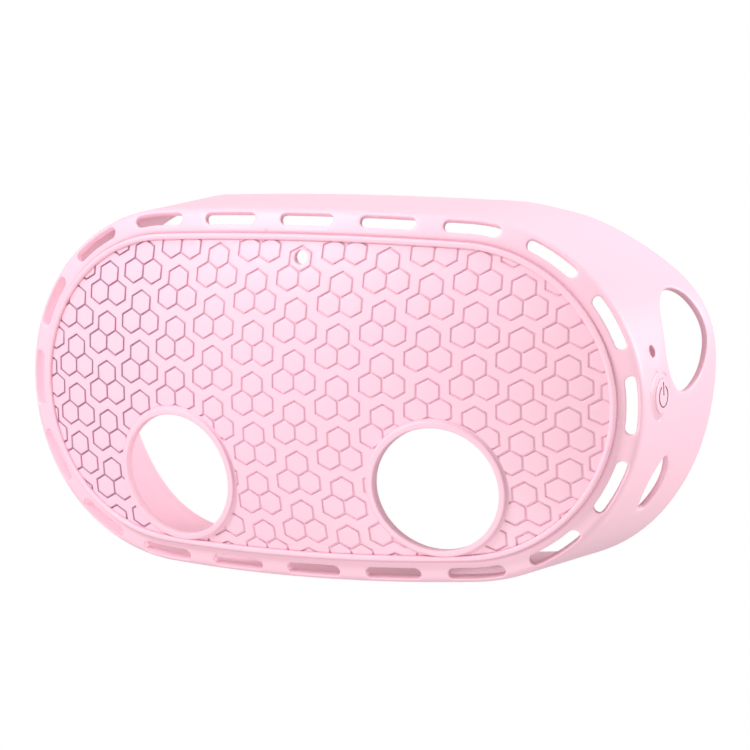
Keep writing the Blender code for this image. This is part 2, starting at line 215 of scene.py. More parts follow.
def rear_edge(edge, normal):
    """Outward offset and world depth of the skirt's rear edge."""
    share = np.minimum(np.abs(edge[..., 0]) / HALF_WIDTH, 1)
    depth = REAR_DEPTH_TOP + (REAR_DEPTH_ENDS - REAR_DEPTH_TOP) * share**REAR_DEPTH_POWER
    depth = depth + REAR_DEEPER_BELOW * ((1 - normal[..., 1]) / 2) ** 2
    angle = np.arctan2(normal[..., 1], np.abs(normal[..., 0]))
    flare = REAR_FLARE
    for height, centre, spread in (UPPER_BULGE, LOWER_BULGE, TOP_CORNER_DIP):
        flare = flare + height * np.exp(-(((angle - centre) / spread) ** 2))
    return flare, depth


def sheet_surface(sheet):
    """Points on the moulding's outer side, from sheet coordinates: along the outline, back from the bead."""
    along, back = sheet[..., 0], sheet[..., 1]
    at, normal = outline_at(along / SHEET_LENGTH, SLOT_REFERENCE)
    edge = at - SLOT_REFERENCE * normal
    panel_depth = dome_depth(edge[..., 0], edge[..., 1])
    section = shoulder_at(np.minimum(back, SHOULDER_LENGTH))
    share = np.maximum(back - SHOULDER_LENGTH, 0) / SKIRT_SPAN
    flare, depth = rear_edge(edge, normal)
    fold = shoulder_at(np.array(SHOULDER_LENGTH))
    offset = section[..., 0] + (flare - fold[0]) * share
    drop = section[..., 1] + (depth - panel_depth - fold[1]) * share
    flat = edge + offset[..., None] * normal
    return np.stack((flat[..., 0], panel_depth + drop, flat[..., 1]), axis=-1)


def sheet_normal(sheet):
    step = 0.02
    across = sheet_surface(sheet + (step, 0)) - sheet_surface(sheet - (step, 0))
    lower = np.stack((sheet[..., 0], np.maximum(sheet[..., 1] - step, 0)), axis=-1)
    back = sheet_surface(sheet + (0, step)) - sheet_surface(lower)
    normal = np.cross(across, back)
    return normal / np.linalg.norm(normal, axis=-1, keepdims=True)


def skirt_length(along):
    """True length of the skirt from the fold to its rear edge, at places along the outline."""
    fold = sheet_surface(np.stack((along, np.full_like(along, SHOULDER_LENGTH)), axis=-1))
    rear = sheet_surface(np.stack((along, np.full_like(along, SHEET_REAR)), axis=-1))
    return np.linalg.norm(rear - fold, axis=-1)


def locate(side, outline):
    """Sheet coordinates of points on a side wall, given as (depth, height)."""
    wanted = np.array(outline, float)
    quarter = SHEET_LENGTH / 4
    sheet = np.stack((quarter - wanted[:, 1], wanted[:, 0] - 10), axis=-1)
    for _ in range(25):
        here = sheet_surface(sheet)
        ahead = sheet_surface(sheet + (0.01, 0))
        behind = sheet_surface(sheet + (0, 0.01))
        a = (ahead - here)[:, 1:] / 0.01
        b = (behind - here)[:, 1:] / 0.01
        miss = wanted - here[:, 1:]
        det = a[:, 0] * b[:, 1] - a[:, 1] * b[:, 0]
        sheet[:, 0] += (miss[:, 0] * b[:, 1] - miss[:, 1] * b[:, 0]) / det
        sheet[:, 1] += (a[:, 0] * miss[:, 1] - a[:, 1] * miss[:, 0]) / det
    if side < 0:
        sheet[:, 0] = SHEET_LENGTH - sheet[:, 0]
    return sheet


# ---- Plane curves ----
def circle_points(radius, count, centre=(0, 0)):
    angles = np.arange(count) * math.tau / count
    return np.stack((np.cos(angles), np.sin(angles)), axis=-1) * radius + centre


def smooth_outline(points, steps=14):
    """Closed smooth curve through points."""
    knots = [Vector((a, b, 0)) for a, b in points]
    count = len(knots)
    curve = []
    for i, knot in enumerate(knots):
        before, after, beyond = knots[i - 1], knots[(i + 1) % count], knots[(i + 2) % count]
        leave = knot + (after - before) / 6
        arrive = after - (beyond - knot) / 6
        curve += interpolate_bezier(knot, leave, arrive, after, steps + 1)[:-1]
    return np.array([(p.x, p.y) for p in curve])


def grown(loop, distance):
    """A closed smooth loop moved outward by a distance."""
    tangent = np.roll(loop, -1, axis=0) - np.roll(loop, 1, axis=0)
    normal = np.stack((tangent[:, 1], -tangent[:, 0]), axis=-1)
    normal /= np.linalg.norm(normal, axis=1, keepdims=True)
    rolled = np.roll(loop, -1, axis=0)
    area = np.sum(loop[:, 0] * rolled[:, 1] - rolled[:, 0] * loop[:, 1])
    return loop + math.copysign(distance, area) * normal


def slot_turn(index):
    """Share of the way round at which a slot's middle lies: the slots crowd a little towards the ends."""
    turn = index / SLOT_COUNT
    return turn + SLOT_CROWDING * math.sin(2 * math.tau * turn)


def slot_loop(centre, distance):
    """Round-ended slot outline, its edge moved outward by a distance."""
    half = SLOT_LENGTH / 2 - SLOT_WIDTH / 2
    radius = SLOT_WIDTH / 2 + distance
    angles = np.linspace(-math.pi / 2, math.pi / 2, 9)
    cap = np.stack((np.cos(angles), np.sin(angles)), axis=-1) * radius
    run = np.linspace(-half, half, 8)[1:-1]
    top = np.stack((run[::-1], np.full_like(run, radius)), axis=-1)
    return np.concatenate((cap + (half, 0), top, -cap - (half, 0), -top)) + centre


def inside_loop(points, loop):
    """True for each point inside a closed polygon."""
    low, high = loop.min(axis=0), loop.max(axis=0)
    near = np.where(np.all((points >= low) & (points <= high), axis=1))[0]
    result = np.zeros(len(points), bool)
    x, y = points[near, 0], points[near, 1]
    odd = np.zeros(len(near), bool)
    for (x0, y0), (x1, y1) in zip(loop, np.roll(loop, -1, axis=0)):
        if y0 == y1:
            continue
        crosses = (y0 > y) != (y1 > y)
        odd ^= crosses & (x < (x1 - x0) * (y - y0) / (y1 - y0) + x0)
    result[near] = odd
    return result


def distance_to_lines(points, starts, ends, reach):
    """Distance from each point to the nearest of many segments, or reach if none is nearer."""
    nearest = np.full(len(points), float(reach))
    for start, end in zip(starts, ends):
        low = np.minimum(start, end) - reach
        high = np.maximum(start, end) + reach
        near = np.where(np.all((points > low) & (points < high), axis=1))[0]
        if not len(near):
            continue
        line = end - start
        share = np.clip((points[near] - start) @ line / (line @ line), 0, 1)
        miss = np.linalg.norm(points[near] - start - share[:, None] * line, axis=1)
        nearest[near] = np.minimum(nearest[near], miss)
    return nearest


class Plan:
    """Loops, lines and loose points in a plane, triangulated together."""

    def __init__(self):
        self.points = []
        self.edges = []
        self.size = 0

    def add_loop(self, loop, closed=True):
        count = len(loop)
        last = count if closed else count - 1
        self.edges += [(self.size + i, self.size + (i + 1) % count) for i in range(last)]
        self.points.append(np.asarray(loop, float))
        self.size += count

    def add_points(self, points):
        self.points.append(np.asarray(points, float))
        self.size += len(points)

    def triangulate(self):
        coords = [Vector(p) for p in np.concatenate(self.points)]
        made = delaunay_2d_cdt(coords, self.edges, [], 0, 1e-5)
        return np.array([(v.x, v.y) for v in made[0]]), np.array([tuple(f) for f in made[2]])


def grid_points(low, high, pitch):
    """Staggered grid of points that fills a rectangle."""
    rows = np.arange(low[1] + pitch / 2, high[1], pitch * 0.87)
    result = []
    for i, y in enumerate(rows):
        xs = np.arange(low[0] + pitch * (0.5 if i % 2 else 0.25), high[0], pitch)
        result.append(np.stack((xs, np.full_like(xs, y)), axis=-1))
    return np.concatenate(result)


def fillet_drop(distance, radius):
    """Fall of a rounded edge, at a distance from it."""
    rest = np.clip(radius - distance, 0, radius)
    return radius - np.sqrt(np.maximum(radius**2 - rest**2, 0))


# ---- Mesh making ----
def new_object(name, points, faces):
    """Mesh object from points in millimetres, with its faces turned outward and shaded smooth."""
    mesh = bpy.data.meshes.new(name)
    mesh.from_pydata([Vector(p) * MM for p in points], [], [tuple(int(i) for i in f) for f in faces])
    builder = bmesh.new()
    builder.from_mesh(mesh)
    bmesh.ops.remove_doubles(builder, verts=builder.verts, dist=1e-7)
    bmesh.ops.dissolve_degenerate(builder, edges=builder.edges, dist=1e-7)
    bmesh.ops.recalc_face_normals(builder, faces=builder.faces)
    builder.to_mesh(mesh)
    builder.free()
    mesh.shade_smooth()
    made = bpy.data.objects.new(name, mesh)
    bpy.context.scene.collection.objects.link(made)
    return made


def sharpen(made, degrees):
    made.data.set_sharp_from_angle(angle=math.radians(degrees))


def weld_seam(sheet, faces):
    """Faces renumbered so that the points of the sheet's first column stand for those of its last."""
    first = np.where(sheet[:, 0] < 0.001)[0]
    same = np.arange(len(sheet))
    for i in np.where(sheet[:, 0] > SHEET_LENGTH - 0.001)[0]:
        same[i] = first[np.argmin(np.abs(sheet[first, 1] - sheet[i, 1]))]
    return same[faces]


def close_shell(outer, inner, outer_faces, inner_faces):
    """Points and faces of a closed shell, its open edges joined one to one between two skins."""
    directed = {}
    for face in outer_faces:
        for a, b in zip(face, np.roll(face, -1)):
            directed[(int(a), int(b))] = True
    walls = [(a, b) for a, b in directed if (b, a) not in directed]
    shift = len(outer)
    faces = [tuple(f) for f in outer_faces]
    faces += [tuple(int(i) + shift for i in reversed(f)) for f in inner_faces]
    faces += [(b, a, a + shift, b + shift) for a, b in walls]
    return np.concatenate((outer, inner)), faces


# ---- The pieces ----
def moulded_shell():
    """Shoulder, skirt and rear lip in one skin, with the slots and the side openings."""
    plan = Plan()
    holes = []
    fillets = []

    def add_hole(loop_at, radius):
        steps = FILLET_STEPS if radius else (0,)
        loops = [loop_at(step * radius) for step in steps]
        for loop in loops:
            plan.add_loop(loop)
        holes.append(loops[0])
        fillets.append((loops, [step * radius for step in steps], radius))

    for index in range(SLOT_COUNT):
        centre = shifted(np.array((slot_turn(index) * SHEET_LENGTH, SLOT_CENTRE)))
        add_hole(lambda d, c=centre: slot_loop(c, d), SLOT_FILLET)
    for side in (-1, 1):
        for points in (UPPER_OPENING, LOWER_OPENING):
            outline = smooth_outline(points)
            add_hole(lambda d, s=side, o=outline: shifted(locate(s, grown(o, d))), OPENING_FILLET)
    indicator = circle_points(INDICATOR_RADIUS, 28, (INDICATOR_Y, INDICATOR_Z))
    add_hole(lambda d: shifted(locate(1, grown(indicator, d))), INDICATOR_FILLET)
    seat = circle_points(BUTTON_RADIUS + SEAT_MARGIN, 48, (BUTTON_Y, BUTTON_Z))
    add_hole(lambda d: shifted(locate(1, grown(seat, d))), 0)

    columns = 260
    along = np.linspace(0, SHEET_LENGTH, columns + 1)
    span = SKIRT_SPAN / skirt_length(along - SHEET_LENGTH / SLOT_COUNT / 2)
    rear_rows = [SHEET_REAR - step * REAR_FILLET * span for step in FILLET_STEPS]
    front = np.stack((along, np.zeros(columns + 1)), axis=-1)
    plan.add_loop(front, closed=False)
    for row in rear_rows:
        plan.add_loop(np.stack((along, row), axis=-1), closed=False)
    backs = np.concatenate((np.linspace(0, SHEET_REAR - 1.4, 34), [row[0] for row in rear_rows]))
    backs = np.unique(np.round(backs, 6))
    for edge in (0, SHEET_LENGTH):
        plan.add_loop(np.stack((np.full(len(backs), edge), backs), axis=-1), closed=False)

    loose = grid_points((1, 0.6), (SHEET_LENGTH - 1, SHEET_REAR - 1.6), SHEET_PITCH)
    fine = grid_points((0.5, 0.4), (SHEET_LENGTH - 0.5, SHOULDER_LENGTH + 1), 0.85)
    loose = np.concatenate((loose[loose[:, 1] > SHOULDER_LENGTH + 1.2], fine))
    clear = np.ones(len(loose), bool)
    for loops, _, _ in fillets:
        clear &= ~inside_loop(loose, grown(loops[-1], 0.35))
    plan.add_points(loose[clear])

    sheet, faces = plan.triangulate()
    middle = sheet[faces].mean(axis=1)
    keep = (middle[:, 1] > 0) & (middle[:, 1] < SHEET_REAR)
    keep &= (middle[:, 0] > 0) & (middle[:, 0] < SHEET_LENGTH)
    for hole in holes:
        keep &= ~inside_loop(middle, hole)
    faces = faces[keep]

    drop = np.zeros(len(sheet))
    for loops, steps, radius in fillets:
        if radius:
            for loop, step in zip(loops, steps):
                drop = mark(sheet, loop, drop, float(fillet_drop(step, radius)))
    rear_drop = np.zeros(len(sheet))
    for row, step in zip(rear_rows, FILLET_STEPS):
        fall = float(fillet_drop(step * REAR_FILLET, REAR_FILLET))
        rear_drop = mark(sheet, np.stack((along, row), axis=-1), rear_drop, fall)

    turned = sheet - (SHEET_LENGTH / SLOT_COUNT / 2, 0)
    surface = sheet_surface(turned)
    normal = sheet_normal(turned)
    local_span = np.interp(sheet[:, 0], along, span)
    to_rear = (SHEET_REAR - sheet[:, 1]) / local_span
    hook = LIP_HOOK * smoothstep(1 - to_rear / LIP_DEPTH)
    outer = surface - normal * (drop + rear_drop)[:, None]
    inner = surface - normal * (WALL + hook - drop - rear_drop)[:, None]
    faces = weld_seam(sheet, faces)
    points, shell_faces = close_shell(outer, inner, faces, faces)
    return new_object("moulded_shell", points, shell_faces)


def shifted(sheet):
    """Sheet coordinates counted from halfway between two slots, where the sheet's seam lies."""
    return sheet + (SHEET_LENGTH / SLOT_COUNT / 2, 0)


def smoothstep(share):
    share = np.clip(share, 0, 1)
    return share * share * (3 - 2 * share)


def mark(points, loop, values, value):
    """values with one value written at the points that lie on a loop's corners, to about a micron."""
    keys = set()
    for x, y in np.round(np.asarray(loop) * 1000).astype(int):
        keys |= {(x + i, y + j) for i in (-1, 0, 1) for j in (-1, 0, 1)}
    for i, key in enumerate(map(tuple, np.round(points * 1000).astype(int))):
        if key in keys:
            values[i] = value
    return values


def trio_places():
    """Places of the top hexagon of each trio, before the stretch across."""
    places = []
    for column in range(-7, 8):
        x = HEX_COLUMN * column * (1 - 0.0008 * column**2) / HEX_STRETCH
        top = 33.2 if column % 2 == 0 else 27.5 + HEX_ROW
        places += [(x, top - HEX_ROW * row) for row in range(8)]
    return places


HEX_HALF = HEX_SIDE * math.sqrt(3) / 2


def hexagon(centre, inset):
    """Corners of an upright hexagon, its sides moved inward by a distance."""
    radius = HEX_SIDE - inset * 2 / math.sqrt(3)
    angles = np.radians(np.arange(6) * 60 + 90)
    return np.stack((np.cos(angles), np.sin(angles)), axis=-1) * radius + centre


def trio_outline(top, outset):
    """Outline of three hexagons that share sides, its sides moved outward by a distance."""
    top = np.array(top)
    side, half = HEX_SIDE, HEX_HALF
    corners = np.array([
        (0, side),
        (-half, side / 2),
        (-half, -side / 2),
        (-2 * half, -side),
        (-2 * half, -2 * side),
        (-half, -2.5 * side),
        (0, -2 * side),
        (half, -2.5 * side),
        (2 * half, -2 * side),
        (2 * half, -side),
        (half, -side / 2),
        (half, side / 2),
    ])
    before = corners - np.roll(corners, 1, axis=0)
    after = np.roll(corners, -1, axis=0) - corners
    before /= np.linalg.norm(before, axis=1, keepdims=True)
    after /= np.linalg.norm(after, axis=1, keepdims=True)
    out_before = np.stack((-before[:, 1], before[:, 0]), axis=-1)
    out_after = np.stack((-after[:, 1], after[:, 0]), axis=-1)
    mitre = out_before + out_after
    mitre /= np.sum(mitre * out_before, axis=1, keepdims=True)
    return corners - outset * mitre + top


def trio_centres(top):
    x, z = top
    return [(x, z), (x - HEX_HALF, z - 1.5 * HEX_SIDE), (x + HEX_HALF, z - 1.5 * HEX_SIDE)]


def stretch(points):
    return np.asarray(points) * (HEX_STRETCH, 1)


def panel_reach(points):
    """How far inside the relief's edge each panel point lies: negative under the bead or a rim."""
    x, z = np.abs(points[:, 0]), np.abs(points[:, 1])
    on_long = x / (z + LONG_ARC_DROP) < math.tan(LONG_ARC_HALF_ANGLE)
    long_reach = LONG_ARC_RADIUS - np.hypot(x, z + LONG_ARC_DROP)
    end_reach = END_RADIUS - np.hypot(x - END_CENTRE, z)
    reach = np.where(on_long, long_reach, end_reach) + 0.35
    for side in (-1, 1):
        from_window = np.hypot(points[:, 0] - side * WINDOW_X, points[:, 1] - WINDOW_Z)
        reach = np.minimum(reach, from_window - (WINDOW_RADIUS + 0.9))
    from_hole = np.hypot(points[:, 0], points[:, 1] - TOP_HOLE_Z)
    return np.minimum(reach, from_hole - TOP_HOLE_RADIUS - HOLE_FILLET - 0.1)


def clipped_runs(loop):
    """Parts of a closed loop that lie where the relief shows, as open runs or the whole loop."""
    reach = panel_reach(loop)
    if np.all(reach > 0):
        return [(loop, True)]
    if np.all(reach <= 0):
        return []
    runs = []
    for a, b, ra, rb in zip(loop, np.roll(loop, -1, axis=0), reach, np.roll(reach, -1)):
        if ra <= 0 and rb <= 0:
            continue
        if ra > 0 and rb > 0:
            runs.append((np.array((a, b)), False))
            continue
        good, bad = (a, b) if ra > 0 else (b, a)
        low, high = 0.0, 1.0
        for _ in range(18):
            mid = (low + high) / 2
            here = good + (bad - good) * mid
            if panel_reach(here[None])[0] > 0:
                low = mid
            else:
                high = mid
        runs.append((np.array((good, good + (bad - good) * low)), False))
    return runs


def honeycomb_front():
    """Domed panel with the grooved trios of hexagons in its front, smooth behind."""
    front, back = Plan(), Plan()
    turns = np.arange(360) / 360
    rim, _ = outline_at(turns, 0.75)
    windows = [circle_points(WINDOW_RADIUS + 0.5, 72, (side * WINDOW_X, WINDOW_Z)) for side in (-1, 1)]
    hole = circle_points(TOP_HOLE_RADIUS, 28, (0, TOP_HOLE_Z))
    borders = [rim] + windows + [hole]
    for border in borders:
        front.add_loop(border)
        back.add_loop(border)
    for step in FILLET_STEPS[1:]:
        front.add_loop(grown(hole, step * HOLE_FILLET))

    starts, ends = [], []
    for top in trio_places():
        reach = panel_reach(stretch(trio_outline(top, 0.5)))
        if np.all(reach < -1):
            continue
        rings = [stretch(trio_outline(top, edge)) for edge, _ in GROOVE]
        for centre in trio_centres(top):
            rings += [stretch(hexagon(centre, edge)) for edge, _ in GROOVE]
            middle = hexagon(centre, 0)
            starts += list(middle)
            ends += list(np.roll(middle, -1, axis=0))
        for ring in rings:
            for run, closed in clipped_runs(ring):
                front.add_loop(run, closed)
    starts, ends = np.array(starts), np.array(ends)

    low, high = rim.min(axis=0), rim.max(axis=0)
    loose = grid_points(low, high, 1.5)
    unstretched = loose / (HEX_STRETCH, 1)
    clear = distance_to_lines(unstretched, starts, ends, 1.0) > 0.75
    clear &= panel_reach(loose) > 0.5
    front.add_points(loose[clear])
    coarse = grid_points(low, high, 3)
    back.add_points(coarse[panel_reach(coarse) > 1])

    def skin(plan):
        flat, faces = plan.triangulate()
        middle = flat[faces].mean(axis=1)
        keep = inside_loop(middle, rim)
        for border in borders[1:]:
            keep &= ~inside_loop(middle, border)
        return flat, faces[keep]

    flat, faces = skin(front)
    away = distance_to_lines(flat / (HEX_STRETCH, 1), starts, ends, 1.0)
    relief = np.interp(away, [d for d, _ in GROOVE], [depth for _, depth in GROOVE])
    relief[panel_reach(flat) < -0.01] = 0
    from_hole = np.hypot(flat[:, 0], flat[:, 1] - TOP_HOLE_Z) - TOP_HOLE_RADIUS
    near_hole = from_hole < HOLE_FILLET + 0.05
    relief[near_hole] = fillet_drop(from_hole[near_hole], HOLE_FILLET)
    outer = np.stack((flat[:, 0], dome_depth(flat[:, 0], flat[:, 1]) + relief, flat[:, 1]), axis=-1)

    back_flat, back_faces = skin(back)
    depth = dome_depth(back_flat[:, 0], back_flat[:, 1]) + WALL
    inner = np.stack((back_flat[:, 0], depth, back_flat[:, 1]), axis=-1)
    joined, joined_faces = join_skins(flat, outer, faces, back_flat, inner, back_faces)
    made = new_object("honeycomb_front", joined, joined_faces)
    sharpen(made, 50)
    paint_groove_shade(made)
    return made


def paint_groove_shade(made):
    """Point attribute for the material: shade painted into the grooves, by how deep in a groove, fading from
    left to right.
    """
    mesh = made.data
    places = np.empty(len(mesh.vertices) * 3)
    mesh.vertices.foreach_get("co", places)
    places = places.reshape(-1, 3) / MM
    sunk = (places[:, 1] - dome_depth(places[:, 0], places[:, 2])) / GROOVE_DEPTH
    sunk[sunk > 1.1] = 0
    strength = np.interp(places[:, 0], *GROOVE_SHADE_FADE)
    painted_groove_shade = mesh.attributes.new("painted_groove_shade", "FLOAT", "POINT")
    painted_groove_shade.data.foreach_set("value", np.clip(sunk, 0, 1) * strength)


def join_skins(flat, outer, faces, back_flat, inner, back_faces):
    """Closed shell from two skins whose open edges have the same corners in the plane."""
    match = {tuple(key): i for i, key in enumerate(map(tuple, np.round(back_flat, 3)))}
    directed = {(int(a), int(b)) for face in faces for a, b in zip(face, np.roll(face, -1))}
    shift = len(outer)
    made = [tuple(f) for f in faces] + [tuple(int(i) + shift for i in reversed(f)) for f in back_faces]
    for a, b in directed:
        if (b, a) in directed:
            continue
        far_a, far_b = (match[tuple(np.round(flat[i], 3))] + shift for i in (a, b))
        made.append((b, a, far_a, far_b))
    return np.concatenate((outer, inner)), made


def loft_ring(name, sections):
    """Closed ring through equal closed cross-sections, in millimetres."""
    count, width = len(sections), len(sections[0])
    points = np.concatenate([np.asarray(section, float) for section in sections])
    faces = []
    for i in range(count):
        after = (i + 1) % count
        for j in range(width):
            k = (j + 1) % width
            faces.append((i * width + j, i * width + k, after * width + k, after * width + j))
    return new_object(name, points, faces)


def rounded_crown(inner, outer, top, foot, radius, steps=6):
    """Cross-section of a flat-topped ridge: (across, drop) points from its inner foot to its outer foot."""
    section = [(inner, foot)]
    for step in range(steps + 1):
        angle = math.pi / 2 * step / steps
        section.append((inner + radius - radius * math.cos(angle), top + radius - radius * math.sin(angle)))
    for step in range(steps + 1):
        angle = math.pi / 2 * (1 - step / steps)
        section.append((outer - radius + radius * math.cos(angle), top + radius - radius * math.sin(angle)))
    section.append((outer, foot))
    return section


def outline_bead():
    """Raised bead between the panel and the shoulder."""
    profile = rounded_crown(0, BEAD_WIDTH, -BEAD_PROUD, SHOULDER_DROP + WALL, BEAD_FILLET)
    turns = np.arange(400) / 400
    at, normal = outline_at(turns, SLOT_REFERENCE)
    edge = at - SLOT_REFERENCE * normal
    depth = dome_depth(edge[:, 0], edge[:, 1])
    sections = []
    for e, n, d in zip(edge, normal, depth):
        sections.append([(e[0] + a * n[0], d + drop, e[1] + a * n[1]) for a, drop in profile])
    return loft_ring("outline_bead", sections)


def window_rim(side):
    """Raised rim of one window, which follows the dome."""
    word = "left" if side < 0 else "right"
    edge = WINDOW_RADIUS + WINDOW_RIM
    profile = rounded_crown(WINDOW_RADIUS, edge, -WINDOW_PROUD, WALL, RIM_FILLET)[:-1]
    profile += [(edge + out, drop) for out, drop in RIM_FOOT]
    profile.append((edge, WALL))
    sections = []
    for direction in circle_points(1, 144):
        section = []
        for radius, drop in profile:
            x = side * WINDOW_X + radius * direction[0]
            z = WINDOW_Z + radius * direction[1]
            section.append((x, dome_depth(x, z) + drop, z))
        sections.append(section)
    return loft_ring(word + "_window_rim", sections)


def button_place():
    """Centre, outward and backward directions of the button on the right wall, in millimetres."""
    sheet = locate(1, [(BUTTON_Y, 0.0)])
    centre = sheet_surface(sheet)[0]
    ahead = sheet_surface(sheet + (0, 0.05 * SKIRT_SPAN))[0]
    backward = (ahead - centre) / np.linalg.norm(ahead - centre)
    outward = np.array((backward[1], -backward[0], 0))
    return np.array((centre[0], BUTTON_Y, BUTTON_Z)), outward, backward


def on_wall(side_offset, centre, outward, backward):
    """How far the wall lies outward of the button's plane, at (backward, up) offsets from its centre."""
    flat = centre + side_offset[:, :1] * backward + side_offset[:, 1:] * (0, 0, 1)
    sheet = locate(1, flat[:, 1:])
    return (sheet_surface(sheet) - flat) @ outward


def turned_piece(name, profile_at, count, capped):
    """Piece turned round the button's axis from profiles of (radius, level), one for each direction."""
    centre, outward, backward = button_place()
    up = np.array((0, 0, 1))
    points, faces = [], []
    rows = []
    for direction in circle_points(1, count):
        row = []
        for radius, level in profile_at(direction):
            row.append(len(points))
            spot = centre + radius * (direction[0] * backward + direction[1] * up) + level * outward
            points.append(spot)
        rows.append(row)
    width = len(rows[0])
    for row, after in zip(rows, rows[1:] + rows[:1]):
        for j in range(width - (1 if capped else 0)):
            k = (j + 1) % width
            faces.append((row[j], row[k], after[k], after[j]))
    return new_object(name, points, faces)


def button_pad():
    """Domed pad with its pusher behind."""
    flank = BUTTON_RADIUS - PAD_CLEARANCE
    profile = [(0, BUTTON_PROUD)]
    profile += [(flank * share, BUTTON_PROUD - PAD_CROWN * share**2) for share in (0.3, 0.6)]
    radius = PAD_FILLET
    top = BUTTON_PROUD - PAD_CROWN
    for step in range(7):
        angle = math.pi / 2 * step / 6
        profile.append((flank - radius + radius * math.sin(angle), top - radius + radius * math.cos(angle)))
    profile += [(flank, -WALL), (PUSHER_RADIUS, -WALL), (PUSHER_RADIUS, -WALL - PUSHER_LENGTH)]
    profile += [(0, -WALL - PUSHER_LENGTH)]
    made = turned_piece("button_pad", lambda direction: profile, 64, True)
    sharpen(made, 50)
    return made


def button_web():
    """Soft collar that rises from the wall to the pad."""
    centre, outward, backward = button_place()
    inside = BUTTON_RADIUS + 0.02
    outside = BUTTON_RADIUS + WEB_REACH

    def profile_at(direction):
        shares = np.linspace(0, 1, 9)
        radii = outside + (inside - outside) * shares
        wall = on_wall(radii[:, None] * direction[None], centre, outward, backward)
        rise = WEB_RISE * shares**1.6
        level = wall * (1 - smoothstep(shares)) + rise + 0.015
        section = list(zip(radii, level))
        section += [(inside, -0.9), (BUTTON_RADIUS + 0.8, -0.9), (outside, wall[0] - 0.6)]
        return section

    return turned_piece("button_web_skin", profile_at, 72, False)


def icon_stroke(name, line):
    """Thin raised line on the pad, from points in the pad's plane (backward, up)."""
    centre, outward, backward = button_place()
    curve = bpy.data.curves.new(name, "CURVE")
    curve.dimensions = "3D"
    curve.bevel_depth = ICON_LINE * MM
    curve.bevel_resolution = 3
    curve.use_fill_caps = True
    spline = curve.splines.new("POLY")
    spline.points.add(len(line) - 1)
    for target, (a, b) in zip(spline.points, line):
        level = BUTTON_PROUD - PAD_CROWN * (math.hypot(a, b) / BUTTON_RADIUS) ** 2 - 0.02
        spot = centre + a * backward + np.array((0, 0, b)) + level * outward
        target.co = (*(spot * MM), 1)
    made = bpy.data.objects.new(name, curve)
    bpy.context.scene.collection.objects.link(made)
    return made


# ---- Materials ----
def silicone(name, colour, roughness=0.42, with_groove_shade=False):
    material = bpy.data.materials.new(name)
    material.use_nodes = True
    nodes, links = material.node_tree.nodes, material.node_tree.links
    shader = nodes["Principled BSDF"]
    shader.inputs["Metallic"].default_value = 0
    shader.inputs["IOR"].default_value = 1.43
    shader.inputs["Specular IOR Level"].default_value = 0.5
    place = nodes.new("ShaderNodeTexCoord")
    cloud = nodes.new("ShaderNodeTexNoise")
    cloud.inputs["Scale"].default_value = 28
    cloud.inputs["Detail"].default_value = 3
    links.new(place.outputs["Object"], cloud.inputs["Vector"])
    tint = nodes.new("ShaderNodeMix")
    tint.data_type = "RGBA"
    tint.inputs["A"].default_value = (*colour, 1)
    tint.inputs["B"].default_value = (*[c * s for c, s in zip(colour, (1.0, 0.965, 0.975))], 1)
    links.new(cloud.outputs["Fac"], tint.inputs["Factor"])
    # Painted shade: where the point attribute marks a groove, the colour darkens towards a deep mauve.
    if with_groove_shade:
        painted_groove_shade = nodes.new("ShaderNodeAttribute")
        painted_groove_shade.attribute_name = "painted_groove_shade"
        shade = nodes.new("ShaderNodeMix")
        shade.data_type = "RGBA"
        shade.inputs["B"].default_value = (*[c * s for c, s in zip(colour, (0.5, 0.45, 0.56))], 1)
        links.new(painted_groove_shade.outputs["Fac"], shade.inputs["Factor"])
        links.new(tint.outputs["Result"], shade.inputs["A"])
        links.new(shade.outputs["Result"], shader.inputs["Base Color"])
    else:
        links.new(tint.outputs["Result"], shader.inputs["Base Color"])
    gloss = nodes.new("ShaderNodeMapRange")
    gloss.inputs["To Min"].default_value = roughness - 0.05
    gloss.inputs["To Max"].default_value = roughness + 0.07
    links.new(cloud.outputs["Fac"], gloss.inputs["Value"])
    links.new(gloss.outputs["Result"], shader.inputs["Roughness"])
    grain = nodes.new("ShaderNodeTexNoise")
    grain.inputs["Scale"].default_value = 2600
    grain.inputs["Detail"].default_value = 2
    links.new(place.outputs["Object"], grain.inputs["Vector"])
    bump = nodes.new("ShaderNodeBump")
    bump.inputs["Strength"].default_value = 0.05
    bump.inputs["Distance"].default_value = 0.0001
    links.new(grain.outputs["Fac"], bump.inputs["Height"])
    links.new(bump.outputs["Normal"], shader.inputs["Normal"])
    return material


PINK = (0.875, 0.54, 0.635)
moulding = silicone("pink_silicone", PINK)
# The panel's material darkens its grooves with painted shade.
panel_silicone = silicone("panel_silicone", PINK, with_groove_shade=True)
pad_silicone = silicone("pad_silicone", PINK)
icon_silicone = silicone("icon_silicone", (0.15, 0.07, 0.1), 0.5)


def finish_piece(piece, material, slot, body, *nodes):
    piece.data.materials.clear()
    piece.data.materials.append(material)
    if nodes:
        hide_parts(*nodes)
    if body:
        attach(piece, body)


shell = moulded_shell()
finish_piece(shell, moulding, "moulding", "cover", "side_skirt", "slotted_flange", "rear_lip")
finish_piece(outline_bead(), moulding, "moulding", "cover", "panel_bead")
finish_piece(honeycomb_front(), panel_silicone, "moulding", "cover", "honeycomb_panel")
finish_piece(window_rim(-1), moulding, "moulding", "cover", "left_window_ring")
finish_piece(window_rim(1), moulding, "moulding", "cover", "right_window_ring")
finish_piece(button_pad(), pad_silicone, "button", "button", "power_button")
arc = [(ICON_RADIUS * math.sin(a), ICON_RADIUS * math.cos(a)) for a in np.radians(np.linspace(26, 334, 37))]
finish_piece(icon_stroke("power_icon_arc", arc), icon_silicone, "icon", "button", "icon_arc")
bar = [(0, ICON_RADIUS * share) for share in (1.35, 0.7, 0.1)]
finish_piece(icon_stroke("power_icon_bar", bar), icon_silicone, "icon", "button", "icon_bar")
web = button_web()
finish_piece(web, pad_silicone, "button", None, "button_web")
web_centre, web_outward, _ = button_place()
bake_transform(web)


